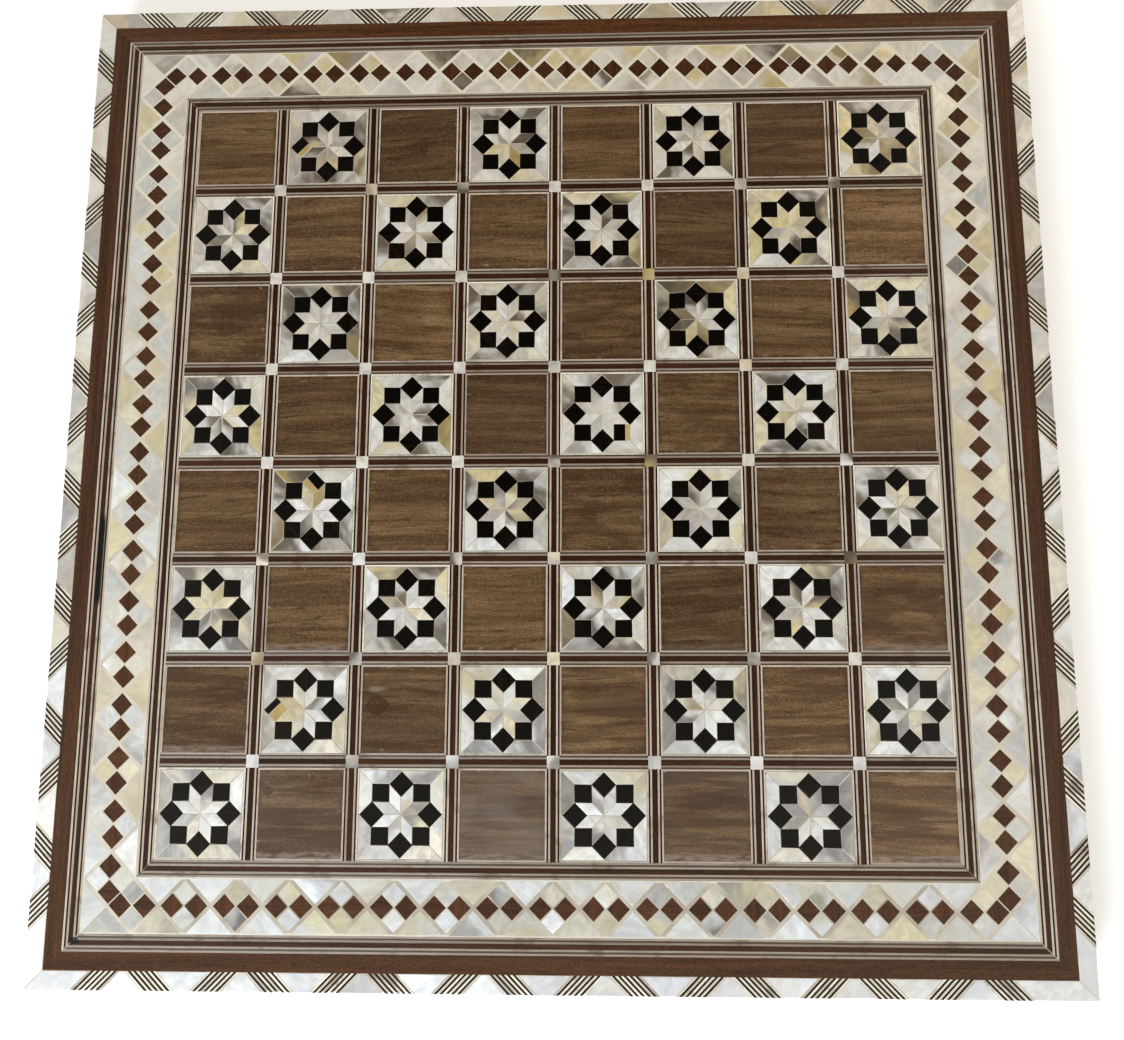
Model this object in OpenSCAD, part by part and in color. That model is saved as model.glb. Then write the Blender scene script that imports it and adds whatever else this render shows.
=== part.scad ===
// Inlaid chessboard: a flat wooden board with star marquetry in mother of pearl,
// walnut squares, laminated stringing, a diamond chain border and a zigzag edge band.
// The origin is at the centre of the underside. Up is +Z and the far side is +Y.

/* [Board] */
// Thickness of the wooden board with its inlay, without the lining
board_t = 19; // [12:0.5:30]
// Thickness of the inlaid pieces
inlay_t = 1.2; // [1:0.1:3]
// Thickness of the glue bed under the inlay
bed_t = 0.3; // [0.1:0.1:1]
// Thickness of the felt lining on the underside
lining_t = 1; // [0.5:0.1:3]
// How far the lining stays back from the board's edges
lining_inset = 3; // [1:0.5:12]

/* [Playing field] */
// Distance from the middle of one square to the middle of the next
square_pitch = 39; // [35:0.5:45]
// Width of the white line that frames each square
frame_line_w = 0.66; // [0.4:0.02:1]
// Width of the black ply on each side of a lane
lane_black_w = 0.62; // [0.4:0.02:1]
// Width of the white ply beside the middle of a lane
lane_white_w = 0.72; // [0.4:0.02:1]
// Width of the brown strip in the middle of a lane
lane_brown_w = 2.1; // [1.2:0.1:3.5]
// Distance from the tip of a black diamond to the edge of its square
star_tip_gap = 0.5; // [0.3:0.1:2.5]
// Share of its width that each mended black piece keeps, from the near side to the far side
mend_keeps = [0.42, 0.6, 0.7, 0.65]; // [0.35:0.01:0.75]

/* [Inner stringing] */
// Width of a white ply
inner_white_w = 0.74; // [0.4:0.02:1.2]
// Width of a black ply
inner_black_w = 0.64; // [0.4:0.02:1.2]
// Width of the brown strip in the middle
inner_brown_w = 1.9; // [1.2:0.1:3.5]

/* [Diamond border] */
// Width of the mother of pearl border
border_w = 20.5; // [19.5:0.1:26]
// Distance from the tip of a block of four squares to the edge of the border
block_margin = 0.96; // [0.6:0.02:2]
// Least joint between the four squares of a block
block_joint = 0.2; // [0.1:0.05:1.2]
// Least joint between a block and the pearl triangles
lattice_joint = 0.85; // [0.5:0.05:1.6]
// Joint between the pearl and the stringing beside it
edge_joint = 0.16; // [0.1:0.02:0.4]

/* [Outer stringing] */
// Width of a white ply
outer_white_w = 0.78; // [0.4:0.02:1.2]
// Width of a black ply
outer_black_w = 0.65; // [0.4:0.05:1.2]
// Width of the brown strip in the middle
outer_brown_w = 1.85; // [1.2:0.05:3.5]

/* [Edge rails] */
// Width of the brown face of a rail
rail_face_w = 6.7; // [4:0.1:12]

/* [Zigzag band] */
// Width of the band
band_w = 7; // [5:0.1:8.5]
// Distance from one pair of slanting bundles to the next, on the near, right, far and left side
zigzag_pitch = [45.7, 46.4, 46.7, 46.4]; // [44:0.1:60]
// How far the pairs stand to the right of the middle, seen from each of these sides
zigzag_shift = [-2.8, 0.2, 1.4, -2.7]; // [-4:0.1:4]
// Width of the small pearl between the bundles of a pair, at the rail
pair_gap = 1.9; // [0.8:0.1:4]
// Width of a black ply
band_black_w = 0.75; // [0.5:0.01:0.85]
// Width of a white ply
band_white_w = 0.75; // [0.5:0.01:0.85]

/* [Joints] */
// Glue line between two pieces of pearl
glue_line = 0.16; // [0.06:0.02:0.3]
// Joint in the mitres of the stringing, where paste fills it
mitre_joint = 0.36; // [0.2:0.02:0.6]
// Hair joint between two plies, and under the inlay
hair = 0.02; // [0.01:0.01:0.05]
// How much a corner of a hand cut piece may fall short of its outline
hand_cut = 0.2; // [0:0.02:0.3]
// The same for the squares of the chain, where paste fills the joints
chain_cut = 0.3; // [0:0.02:0.6]
// Radius of the board's four corners
corner_r = 1.2; // [0.4:0.1:5]

/* [Hidden] */

// A chessboard has eight squares a side, and a star has eight points
squares = 8;
points = 8;
sides = 4;
root2 = sqrt(2);

// Heights
top_z = lining_t + board_t;
inlay_z = top_z - inlay_t;
bed_z = inlay_z - bed_t;

// Playing field, from the middle of a lane outwards
white_at = lane_brown_w / 2 + hair;
black_at = white_at + lane_white_w + hair;
crossing_half = black_at + lane_black_w;
frame_at = crossing_half + hair;
lane_half = frame_at + frame_line_w;
tile_half = square_pitch / 2 - lane_half;
field_half = squares / 2 * square_pitch - frame_at;
star_side = (tile_half - star_tip_gap) / (1 + root2);

// Stringing plies from the field outwards, as widths and as the kind of wood
WHITE = 0;
BLACK = 1;
BROWN = 2;
ply_kinds = [WHITE, BLACK, WHITE, BROWN, WHITE, BLACK, WHITE];
function sum_to(w, n) = n == 0 ? 0 : w[n - 1] + hair + sum_to(w, n - 1);
inner_plies = [for (k = ply_kinds) [inner_white_w, inner_black_w, inner_brown_w][k]];
outer_plies = [for (k = ply_kinds) [outer_white_w, outer_black_w, outer_brown_w][k]];

// Half sizes of the rings that lie round the field
inner_string_at = field_half + hair;
border_at = inner_string_at + sum_to(inner_plies, len(inner_plies));
outer_string_at = border_at + border_w + hair;
rail_at = outer_string_at + sum_to(outer_plies, len(outer_plies));
band_at = rail_at + rail_face_w + hair;
board_half = band_at + band_w;

// Chain of blocks, each of two brown and two pearl squares set on their corners
border_mid = border_at + border_w / 2;
block_side = root2 * (border_w / 2 - block_margin);
chain_square = (block_side - block_joint) / 2;
cell = (chain_square + block_joint) / root2;
run_half = border_mid - 2 * cell;
block_steps = floor(2 * run_half / (root2 * (block_side + lattice_joint)));
block_pitch = 2 * run_half / block_steps;
lattice_w = block_pitch / root2 - block_side;
apex = lattice_w / root2;
base_at = border_w / 2 - edge_joint;
triangle_half = base_at - apex;
corner_out = border_mid + base_at;
corner_leg = 2 * base_at + 2 * cell - root2 * (block_side / 2 + lattice_w);

// Black pieces that were cut too narrow, each as the column and row of its square, its notch in
// the star, and the quarter turns that bring its narrow side round
mends = [[1, 1, 4, 0], [1, 3, 2, 0], [4, 4, 7, 3], [1, 7, 4, 0]];
function mend_spot(m) = mends[m][0] * squares + mends[m][1];
function mend_notch(m) = mends[m][2];
function mend_turn(m) = mends[m][3];

// Zigzag band: five black and six white plies a bundle, laid at 45 degrees
black_plies = 5;
black_step = root2 * (band_black_w + hair);
white_step = root2 * (band_white_w + hair);
bundle_w = black_plies * black_step + (black_plies + 1) * white_step - root2 * hair;

// Each copy of a pattern tells its pieces where they are, so that no two are cut alike
$spot = 0;
$side = 0;
$end = 0;
RHOMB = 0;
NOTCH = 1;
TILE_EDGE = 2;
CHAIN_BROWN = 3;
CHAIN_PEARL = 4;
OUTER_TRIANGLE = 5;
INNER_TRIANGLE = 6;
BORDER_CORNER = 7;
BAND_SMALL = 8;
BAND_LARGE = 9;
BAND_CORNER = 10;
kinds = 11;
most_copies = 100;

// Moves each corner of an outline inwards by its own distance, where the outline runs anticlockwise
function unit(v) = v / norm(v);
function left(v) = [-v[1], v[0]];
function inset(p, d) = [
    for (i = [0:len(p) - 1])
        let (
            before = left(unit(p[i] - p[(i + len(p) - 1) % len(p)])),
            after = left(unit(p[(i + 1) % len(p)] - p[i]))
        )
        p[i] + d[i] * (before + after) / (1 + before * after)
];

// A hand cut piece leaves half a glue line all round, and a little more at some corners
module cut_by_hand(outline, kind, number = 0, most = hand_cut) {
    place = ($spot * sides + $side) * 2 + $end;
    short = rands(0, most, len(outline), (place * kinds + kind) * most_copies + number);
    polygon(inset(outline, [for (s = short) glue_line / 2 + s]));
}

// The inlay is a layer of one thickness, drawn from its plan
module inlay() {
    translate([0, 0, inlay_z + hair])
        linear_extrude(inlay_t - hair)
            children();
}

function box_plan(half) = [
    [-half, -half], [half, -half], [half, half], [-half, half]
];

// Eases what lies in the board's corners
module within_corners() {
    intersection() {
        children();
        union() {
            for (across = [board_half, board_half - corner_r])
                square([2 * across, 2 * (2 * board_half - corner_r - across)], center = true);
            for (corner = box_plan(board_half - corner_r))
                translate(corner)
                    circle(corner_r);
        }
    }
}

// Plan of a strip along the near side, from one half size to another, with mitred ends
function mitred(from, to, joint = hair) =
    let (back = joint / root2)
    [[back - to, -to], [to - back, -to], [from - back, -from], [back - from, -from]];

// Plan of what fills the mitre in the near left corner
function mitre_slip(from, to) =
    let (side = mitre_joint / root2 - root2 * hair)
    [
        [-to, -to], [side - to, -to], [side - from, -from],
        [-from, -from], [-from, side - from], [-to, side - to]
    ];

module on_each_side() {
    for (i = [0:sides - 1])
        rotate(i * 90)
            let ($side = i)
                children();
}

// Both ends of a side, for pieces that are mirrored about its middle
module both_ends() {
    children();
    mirror([1, 0, 0])
        let ($end = 1)
            children();
}

module on_squares(stars) {
    for (i = [0:squares - 1], j = [0:squares - 1])
        if (((i + j) % 2 == 0) == stars)
            translate([i - (squares - 1) / 2, j - (squares - 1) / 2] * square_pitch)
                let ($spot = i * squares + j)
                    children();
}

module core_panel() {
    color("burlywood")
        translate([0, 0, lining_t])
            linear_extrude(bed_z - lining_t)
                polygon(box_plan(rail_at - hair));
}

module glue_bed() {
    color("antiquewhite")
        translate([0, 0, bed_z])
            linear_extrude(bed_t)
                polygon(box_plan(rail_at - hair));
}

module base_lining() {
    color("darkgreen")
        linear_extrude(lining_t)
            polygon(box_plan(board_half - lining_inset));
}

// A rail's face stands flush with the inlay, and the band lies in a rebate along its outer edge
module edge_rail(side) {
    color("saddlebrown")
        translate([0, 0, lining_t])
            rotate(side * 90) {
                linear_extrude(inlay_z - lining_t)
                    within_corners()
                        polygon(mitred(rail_at, board_half));
                linear_extrude(board_t)
                    polygon(mitred(rail_at, band_at - hair));
            }
}

module edge_rail_front() {
    edge_rail(0);
}

module edge_rail_right() {
    edge_rail(1);
}

module edge_rail_back() {
    edge_rail(2);
}

module edge_rail_left() {
    edge_rail(3);
}

module walnut_squares() {
    color("sienna")
        inlay()
            on_squares(false)
                polygon(box_plan(tile_half - hair));
}

// The white line that goes all round each square
module square_frames() {
    color("ivory")
        inlay()
            for (stars = [true, false])
                on_squares(stars)
                    difference() {
                        polygon(box_plan(tile_half + frame_line_w));
                        polygon(box_plan(tile_half));
                    }
}

function at(angle, r) = [r * cos(angle), r * sin(angle)];
point_angle = 360 / points;

// The eight points of a star, with a rhomb of pearl for each
module star_rhombs() {
    color("whitesmoke")
        inlay()
            on_squares(true)
                for (i = [0:points - 1])
                    let (
                        a = at(i * point_angle, star_side),
                        b = at((i + 1) * point_angle, star_side)
                    )
                        cut_by_hand([[0, 0], a, a + b, b], RHOMB, i);
}

// Plan of a notch's square, between two shares of its width
function notch_plan(from, to) = [
    for (corner = [[0, from], [1, from], [1, to], [0, to]]) (corner - [0.5, 0.5]) * star_side
];

// Which of the mends is in a notch of this square
function mend_in(i) = [
    for (m = [0:len(mends) - 1])
        if (mend_spot(m) == $spot && mend_notch(m) == i) m
];

module in_notch(i, turn = 0) {
    rotate(i * point_angle)
        translate([star_side * (1 + 1 / root2), 0])
            rotate(45 + 90 * turn)
                children();
}

// A black square of the star's own side fits each notch between two points
module notch_square(i) {
    mend = mend_in(i);
    if (len(mend) == 0)
        in_notch(i)
            cut_by_hand(notch_plan(0, 1), NOTCH, i);
    for (m = mend)
        in_notch(i, mend_turn(m))
            cut_by_hand(notch_plan(0, mend_keeps[m]), NOTCH, i);
}

module star_black_diamonds() {
    color("black")
        inlay()
            on_squares(true)
                for (i = [0:2:points - 1])
                    notch_square(i);
}

module star_black_squares() {
    color("black")
        inlay()
            on_squares(true)
                for (i = [1:2:points - 1])
                    notch_square(i);
}

// A strip of pearl makes up the width of each mended piece
module star_mending_pearls() {
    color("goldenrod")
        inlay()
            on_squares(true)
                for (i = [0:points - 1], m = mend_in(i))
                    in_notch(i, mend_turn(m))
                        cut_by_hand(notch_plan(mend_keeps[m], 1), NOTCH, points + i);
}

// Two pearls fill each side of the square, with a mitre in every corner
module star_corner_pearls() {
    near = star_side / root2;
    far = star_side + near;
    color("whitesmoke")
        inlay()
            on_squares(true)
                on_each_side()
                    both_ends()
                        cut_by_hand([
                            [0, tile_half], [0, tile_half - star_tip_gap],
                            [near, far], [far, far], [tile_half, tile_half]
                        ], TILE_EDGE);
}

// The lanes run both ways between the squares and stop at the pearl on each crossing
module on_lanes() {
    for (turn = [0, 90], i = [1:squares - 1], j = [0:squares - 1])
        let (
            along = (j - squares / 2) * square_pitch,
            from = j == 0 ? -field_half : along + crossing_half + hair,
            to = j == squares - 1 ? field_half : along + square_pitch - crossing_half - hair
        )
            rotate(turn)
                translate([from, (i - squares / 2) * square_pitch])
                    let ($length = to - from)
                        children();
}

// A ply on each side of a lane's middle, at a distance from it
module lane_plies(from, width) {
    on_lanes() {
        translate([0, from])
            square([$length, width]);
        translate([0, -from - width])
            square([$length, width]);
    }
}

module lane_brown_strips() {
    color("saddlebrown")
        inlay()
            on_lanes()
                translate([0, -lane_brown_w / 2])
                    square([$length, lane_brown_w]);
}

module lane_white_plies() {
    color("ivory")
        inlay()
            lane_plies(white_at, lane_white_w);
}

module lane_black_plies() {
    color("black")
        inlay()
            lane_plies(black_at, lane_black_w);
}

module crossing_pearls() {
    color("whitesmoke")
        inlay()
            for (i = [1:squares - 1], j = [1:squares - 1])
                translate([i - squares / 2, j - squares / 2] * square_pitch)
                    polygon(box_plan(crossing_half));
}

// The plies of one kind in a stringing
module string_plies(start, plies, kind) {
    inlay()
        for (i = [0:len(plies) - 1])
            if (ply_kinds[i] == kind)
                let (from = start + sum_to(plies, i))
                    on_each_side()
                        polygon(mitred(from, from + plies[i], mitre_joint));
}

module inner_string_white() {
    color("ivory")
        string_plies(inner_string_at, inner_plies, WHITE);
}

module inner_string_black() {
    color("black")
        string_plies(inner_string_at, inner_plies, BLACK);
}

module inner_string_brown() {
    color("saddlebrown")
        string_plies(inner_string_at, inner_plies, BROWN);
}

module outer_string_white() {
    color("ivory")
        string_plies(outer_string_at, outer_plies, WHITE);
}

module outer_string_black() {
    color("black")
        string_plies(outer_string_at, outer_plies, BLACK);
}

module outer_string_brown() {
    color("saddlebrown")
        string_plies(outer_string_at, outer_plies, BROWN);
}

module string_mitre_paste() {
    color("antiquewhite")
        inlay()
            on_each_side() {
                polygon(mitre_slip(inner_string_at, border_at - hair));
                polygon(mitre_slip(outer_string_at, rail_at - hair));
            }
}

// Plans of the border's pieces, where y is measured from the middle of the near side's border
module on_border() {
    on_each_side()
        translate([0, -border_mid])
            children();
}

function diamond_at(x, y) = [
    for (corner = [[0, -1], [1, 0], [0, 1], [-1, 0]])
        [x, y] + (chain_square + glue_line) / root2 * corner
];
function block_x(i) = i * block_pitch - run_half;

// Brown squares stand side by side along the chain
module brown_plans() {
    on_border()
        for (i = [0:block_steps], s = [0, 1])
            cut_by_hand(
                diamond_at(block_x(i) + (2 * s - 1) * cell, 0), CHAIN_BROWN, 2 * i + s, chain_cut
            );
}

// Pearl squares stand across it
module chain_pearl_plans() {
    on_border()
        for (i = [0:block_steps], s = [0, 1])
            cut_by_hand(
                diamond_at(block_x(i), (2 * s - 1) * cell), CHAIN_PEARL, 2 * i + s, chain_cut
            );
}

// Triangles fill the notches between two blocks, outside the chain or inside it
module triangle_plans(kind) {
    on_border()
        for (i = [0:block_steps - 1])
            translate([block_x(i) + block_pitch / 2, 0])
                rotate(kind == OUTER_TRIANGLE ? 0 : 180)
                    cut_by_hand([
                        [0, -apex], [-triangle_half, -base_at], [triangle_half, -base_at]
                    ], kind, i);
}

// Two pearls meet in a mitre in each corner of the border
module corner_plans() {
    on_border()
        both_ends()
            cut_by_hand([
                [-corner_out, -base_at],
                [-corner_out + corner_leg, -base_at],
                [(corner_leg / 2 - corner_out), corner_leg / 2 - base_at]
            ], BORDER_CORNER);
}

module chain_brown_squares() {
    color("saddlebrown")
        inlay()
            brown_plans();
}

module chain_pearl_squares() {
    color("whitesmoke")
        inlay()
            chain_pearl_plans();
}

module border_outer_pearls() {
    color("whitesmoke")
        inlay()
            triangle_plans(OUTER_TRIANGLE);
}

module border_inner_pearls() {
    color("whitesmoke")
        inlay()
            triangle_plans(INNER_TRIANGLE);
}

module border_corner_pearls() {
    color("wheat")
        inlay()
            corner_plans();
}

// The pale paste fills every joint of the border, flush with the pearl
module border_paste() {
    color("antiquewhite")
        inlay()
            difference() {
                polygon(box_plan(border_at + border_w));
                polygon(box_plan(border_at));
                brown_plans();
                chain_pearl_plans();
                triangle_plans(OUTER_TRIANGLE);
                triangle_plans(INNER_TRIANGLE);
                corner_plans();
            }
}

// Plan of a piece of the band, from its span at the rail and its span at the board's edge
function band_plan(at_rail, at_edge) = [
    [at_rail[0], 0], [at_edge[0], -band_w], [at_edge[1], -band_w], [at_rail[1], 0]
];

module on_band() {
    on_each_side()
        translate([0, -band_at])
            children();
}

// Each side has its own number of pairs, and its own places for them
function pairs() = floor(2 * band_at / zigzag_pitch[$side]);
function pair_x(pair) = (pair - (pairs() - 1) / 2) * zigzag_pitch[$side] + zigzag_shift[$side];

// The two bundles of a pair lean away from each other as they leave the rail
module band_plies(first, width, count) {
    on_band()
        for (pair = [0:pairs() - 1], i = [0:count - 1])
            translate([pair_x(pair), 0])
                both_ends()
                    let (
                        from = pair_gap / 2 + first + i * (black_step + white_step),
                        to = from + root2 * width
                    )
                        polygon(band_plan([from, to], [from + band_w, to + band_w]));
}

module band_white_plies() {
    color("ivory")
        inlay()
            band_plies(0, band_white_w, black_plies + 1);
}

module band_black_plies() {
    color("black")
        inlay()
            band_plies(white_step, band_black_w, black_plies);
}

module band_small_pearls() {
    half = pair_gap / 2;
    color("whitesmoke")
        inlay()
            on_band()
                for (pair = [0:pairs() - 1])
                    translate([pair_x(pair), 0])
                        cut_by_hand(
                            band_plan([-half, half], [-half - band_w, half + band_w]), BAND_SMALL, pair
                        );
}

module band_large_pearls() {
    color("whitesmoke")
        inlay()
            on_band()
                for (pair = [0:pairs() - 2])
                    let (half = (zigzag_pitch[$side] - pair_gap) / 2 - bundle_w)
                        translate([pair_x(pair + 0.5), 0])
                            cut_by_hand(
                                band_plan([-half, half], [band_w - half, half - band_w]), BAND_LARGE, pair
                            );
}

// A corner's pearls reach from the last bundle of each side to the mitre
function last_bundle() =
    ($end == 0 ? pair_x(pairs() - 1) : -pair_x(0)) + pair_gap / 2 + bundle_w;

module band_corner_pearls() {
    color("whitesmoke")
        inlay()
            within_corners()
                on_band()
                    both_ends()
                        let (from = last_bundle())
                            cut_by_hand(
                                band_plan([from, band_at], [from + band_w, board_half]), BAND_CORNER
                            );
}

core_panel();
glue_bed();
base_lining();
edge_rail_front();
edge_rail_back();
edge_rail_left();
edge_rail_right();
walnut_squares();
square_frames();
star_rhombs();
star_black_diamonds();
star_black_squares();
star_mending_pearls();
star_corner_pearls();
lane_brown_strips();
lane_white_plies();
lane_black_plies();
crossing_pearls();
inner_string_white();
inner_string_black();
inner_string_brown();
chain_brown_squares();
chain_pearl_squares();
border_outer_pearls();
border_inner_pearls();
border_corner_pearls();
border_paste();
outer_string_white();
outer_string_black();
outer_string_brown();
string_mitre_paste();
band_black_plies();
band_white_plies();
band_small_pearls();
band_large_pearls();
band_corner_pearls();
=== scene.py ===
# Finishes for an inlaid chessboard: walnut squares, mother of pearl stars, laminated stringing,
# a diamond chain border and a zigzag band, all under one coat of lacquer.
import math
import random
from functools import partialmethod

import bmesh
import bpy
from bpy.props import FloatProperty, FloatVectorProperty, IntProperty, PointerProperty
from mathutils import Matrix, Vector


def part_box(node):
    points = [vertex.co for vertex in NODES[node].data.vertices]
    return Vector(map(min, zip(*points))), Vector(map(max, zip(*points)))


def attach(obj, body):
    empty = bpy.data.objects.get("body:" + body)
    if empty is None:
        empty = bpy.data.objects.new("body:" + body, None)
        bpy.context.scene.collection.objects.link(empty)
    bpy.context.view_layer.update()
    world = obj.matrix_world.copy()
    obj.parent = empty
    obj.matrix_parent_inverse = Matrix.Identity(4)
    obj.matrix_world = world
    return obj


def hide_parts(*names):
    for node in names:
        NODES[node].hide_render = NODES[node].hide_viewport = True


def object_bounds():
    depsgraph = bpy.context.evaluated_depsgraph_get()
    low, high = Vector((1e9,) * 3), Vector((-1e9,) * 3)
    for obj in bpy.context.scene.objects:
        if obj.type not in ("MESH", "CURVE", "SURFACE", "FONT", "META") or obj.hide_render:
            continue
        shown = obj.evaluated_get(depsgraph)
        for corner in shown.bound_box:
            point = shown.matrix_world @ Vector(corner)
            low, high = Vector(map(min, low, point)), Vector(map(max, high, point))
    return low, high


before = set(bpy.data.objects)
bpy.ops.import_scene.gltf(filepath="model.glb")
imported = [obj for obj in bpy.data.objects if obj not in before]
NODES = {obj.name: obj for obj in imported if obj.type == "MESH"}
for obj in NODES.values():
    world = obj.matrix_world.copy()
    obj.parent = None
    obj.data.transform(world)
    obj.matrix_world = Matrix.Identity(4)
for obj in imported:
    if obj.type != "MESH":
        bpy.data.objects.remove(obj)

bl_info = {
    "name": "Inlaid chessboard",
    "version": (1, 0, 0),
    "blender": (4, 5, 0),
    "location": "3D View > Sidebar > Chessboard",
    "description": "Finishes and stage for a chessboard inlaid with mother of pearl",
    "category": "Object",
}

CAD_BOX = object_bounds()
MM = 0.001
WELD = 0.001 * MM
TOUCH = 0.1 * MM
SHARP = math.radians(50)
UPWARDS = 0.9
FULL_TURN = 2 * math.pi
BODY = "root"
MIDDLE = "piece_middle"
TURN = "piece_turn"
SQUARES = 8
LAST_SQUARE = (SQUARES - 1) / 2

# Chances are drawn by the small cell in which a piece's middle lies, in millimetres. Each draw
# shifts the middle by one more step. A square's own draw takes in every height.
DRAW_CELL = (0.7, 0.7, 0.7)
DRAW_SHIFT = Vector((0.23, 0.17, 0.31))
DRAW_STEP = Vector((0.0, 0.0, 7.0))
EVERY_HEIGHT = 1000.0

# How far in millimetres a chance may move a pattern
FAR_APART = 900.0

# Stretches over which a finish changes, in millimetres from the middle of the board
NEAR_EDGE = (-190.0, -140.0)
NEAR_BORDER = (-150.0, -165.0)
NEAR_ROW = (-90.0, -130.0)
NEAR_ROWS = (-40.0, -110.0)
NEAR_HALF = (-130.0, -40.0)
GREY_RIM_ROWS = (-20.0, -80.0)
MIDDLE_ROWS = (-60.0, 60.0)
FAR_HALF = (-20.0, 170.0)
FAR_SHADE_SPAN = (0.0, 180.0)
FAR_LINES = (-60.0, 120.0)
FAR_PASTE = (-60.0, 150.0)
FAR_ROW = (100.0, 150.0)
COLUMNS = (20.0, 140.0)
SIDES = (120.0, 170.0)
SIDE_BORDERS = (120.0, 150.0)
BORDER_ENDS = (150.0, 162.0)

# The same from the middle of a square, whose half width is 16.4 mm
DARK_EDGE_SPAN = (14.4, 16.2)
RIM = (13.6, 14.6)
NEAR_RIM = (-13.2, -14.6)
NEAR_LINE = (-16.3, -16.5)

# The tones of the two ends of a pearl, each with its place in the draw
ONE_END = (
    (0.0, "silver"), (0.24, "white"), (0.34, "grey"), (0.44, "silver"), (0.58, "white"),
    (0.7, "cream"), (0.8, "honey"), (0.87, "cream"), (0.93, "smoke"), (1.0, "gold"),
)
OTHER_END = (
    (0.0, "silver"), (0.25, "cream"), (0.4, "grey"), (0.6, "silver"), (0.72, "honey"),
    (0.86, "smoke"), (1.0, "grey"),
)
# How much painted light the near half of the pearl gets
NEAR_PAINTED_LIGHT = 0.26

# Pearls of the side borders turn yellow below the first draw, and cool above the second
YELLOW_DRAW = (0.24, 0.2)
COOL_DRAW = (0.6, 0.64)

# Tints that multiply a colour. The far tint is painted shade on the far side of the pearl, and the side
# gain painted light at its left and right sides.
NO_TINT = (1.0, 1.0, 1.0)
FAR_PAINTED_SHADE = (1.0, 0.965, 0.915)
BLUISH = (0.985, 0.98, 1.0)
PINKISH = (1.0, 0.966, 0.96)
SIDE_PAINTED_LIGHT = 1.07


def colour_property(name, description, *levels):
    """A colour, given as it looks on a screen, from 0 to 255, and kept as a shader's linear values."""
    default = tuple(
        (c / 12.92 if c <= 0.04045 else ((c + 0.055) / 1.055) ** 2.4) for c in (v / 255 for v in levels)
    )
    return FloatVectorProperty(
        name=name, description=description, default=default, size=3, min=0, max=1, subtype="COLOR"
    )


def length_property(name, description, default):
    return FloatProperty(
        name=name, description=description, default=default, min=0, unit="LENGTH", precision=5
    )


def place_property(name, description, default, unit="LENGTH"):
    return FloatVectorProperty(
        name=name, description=description, default=default, size=len(default), unit=unit, precision=5
    )


def direction_property(name, description, default):
    return place_property(name, description, default, unit="NONE")


def number_property(name, description, default):
    return FloatProperty(name=name, description=description, default=default, min=0)


class PearlTones(bpy.types.PropertyGroup):
    """Tones of the mother of pearl, which differ from piece to piece."""

    silver: colour_property("Silver", "Brightest pearl", 245, 245, 243)
    white: colour_property("White", "Most common pale pearl", 232, 229, 221)
    grey: colour_property("Grey", "Cool grey pearl", 186, 180, 172)
    cream: colour_property("Cream", "Warm pale pearl", 231, 220, 192)
    honey: colour_property("Honey", "Yellowish pearl", 226, 211, 158)
    gold: colour_property("Gold", "Pearl from the edge of the shell", 202, 178, 118)
    smoke: colour_property("Smoke", "Darkest pearl", 102, 90, 76)
    yellow: colour_property("Yellow", "Yellow pearl of the border", 229, 216, 174)
    cool: colour_property("Cool", "Cool pearl of the border", 219, 220, 217)
    # A pale tone painted where light falls on the pearl: along the near side and at the left and right
    painted_light_tone: colour_property("Frost", "Cool pearl of the near side and the ends", 236, 240, 247)
    cloud: length_property("Cloud", "Size of the soft clouds in a piece", 2.6 * MM)
    tilt: FloatProperty(
        name="Tilt",
        description="How far the layers of the shell lean out of the surface",
        default=math.radians(9),
        min=0,
        max=math.radians(40),
        subtype="ANGLE",
    )


class WoodTones(bpy.types.PropertyGroup):
    """Tones of the woods and of the pale plies."""

    walnut: colour_property("Walnut", "Ground of the plain squares", 115, 88, 61)
    walnut_dark: colour_property("Walnut streak", "Dark streaks of the plain squares", 66, 46, 30)
    walnut_pale: colour_property("Walnut highlight", "Pale streaks of the squares", 140, 113, 84)
    rail: colour_property("Rail", "Ground of the edge rails", 91, 57, 34)
    rail_dark: colour_property("Rail pore", "Pores and dark grain of the rails", 44, 25, 14)
    chain: colour_property("Chain", "Brown squares of the border", 84, 51, 31)
    strip: colour_property("Strip", "Brown strips of the lanes and stringing", 68, 40, 24)
    strip_dark: colour_property("Strip grain", "Dark grain of the brown strips", 32, 17, 9)
    ebony: colour_property("Ebony", "Black pieces of the stars", 6, 5, 4)
    ebony_grain: colour_property("Ebony grain", "Brown grain of the black wood", 40, 27, 19)
    ebony_speck: colour_property("Ebony speck", "Specks in the black wood", 66, 50, 36)
    ebony_worn: colour_property("Worn ebony", "Worn plies of the black wood", 86, 71, 58)
    black_ply: colour_property("Black ply", "Dark plies of the lanes and stringing", 26, 16, 10)
    ply: colour_property("Pale ply", "Pale plies of the lanes and stringing", 202, 186, 171)
    ply_dark: colour_property("Pale ply grain", "Darker grain of the pale plies", 136, 112, 92)
    line: colour_property("White line", "White line round each star square", 238, 230, 214)
    knot_wood: colour_property("Knot wood", "Heart of a knot", 64, 41, 19)
    knot: place_property("Knot", "Where the large knot lies", (-68.9 * MM, -95.6 * MM))
    pin_knot: place_property("Pin knot", "Where the small knot lies", (-110.6 * MM, -127.9 * MM))
    core: colour_property("Core", "Wood of the core", 186, 158, 116)
    core_dark: colour_property("Core grain", "Dark grain of the core", 146, 116, 78)
    core_pale: colour_property("Core highlight", "Pale grain of the core", 206, 182, 142)


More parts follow.
